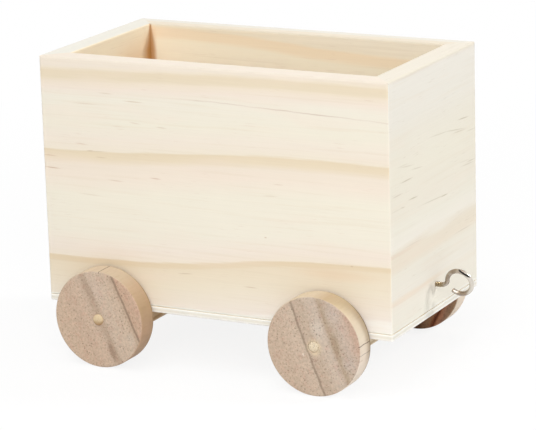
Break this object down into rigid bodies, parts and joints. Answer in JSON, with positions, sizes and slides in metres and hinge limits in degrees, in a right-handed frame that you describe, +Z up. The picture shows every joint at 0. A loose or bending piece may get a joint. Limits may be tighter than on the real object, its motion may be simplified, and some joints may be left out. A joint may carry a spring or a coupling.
{
  "type": "toy wagon",
  "caption": "Small open wooden box wagon on disc wheels with dowel axles, a screw hook at the front and a screw eye at the rear for coupling.",
  "frame": {"origin": "on the ground, under the middle of the box", "axes": "+X along the box towards the end with the hook (front), +Y to the left, +Z up"},
  "size_m": [0.1884, 0.1076, 0.1253],
  "materials": {
    "side_pine": "planed and sanded, bare",
    "end_pine": "planed and sanded, bare",
    "plywood": "thin plywood, bare",
    "bearer_pine": "sawn strip, bare",
    "dowel": "sanded dowel, bare",
    "wheel_wood": "sawn end grain, bare",
    "nickel_wire": "nickel plated steel wire",
    "nail_steel": "bright steel wire nails"
  },
  "bodies": {
    "wagon_box": {"right_side_board": "side_pine", "left_side_board": "side_pine", "front_end_board": "end_pine", "rear_end_board": "end_pine", "floor_board": "plywood", "front_bearer": "bearer_pine", "rear_bearer": "bearer_pine", "coupling_hook": "nickel_wire", "coupling_eye": "nickel_wire", "bearer_nails": "nail_steel", "floor_nails": "nail_steel"},
    "front_wheelset": {"front_axle": "dowel", "front_right_wheel": "wheel_wood", "front_left_wheel": "wheel_wood"},
    "rear_wheelset": {"rear_axle": "dowel", "rear_right_wheel": "wheel_wood", "rear_left_wheel": "wheel_wood"}
  },
  "joints": [
    {"name": "front_axle_spin", "type": "hinge", "parent": "wagon_box", "child": "front_wheelset", "pos_m": [0.0485, 0, 0.0202], "axis": [0, 1, 0], "continuous": true},
    {"name": "rear_axle_spin", "type": "hinge", "parent": "wagon_box", "child": "rear_wheelset", "pos_m": [-0.0485, 0, 0.0202], "axis": [0, 1, 0], "continuous": true}
  ]
}
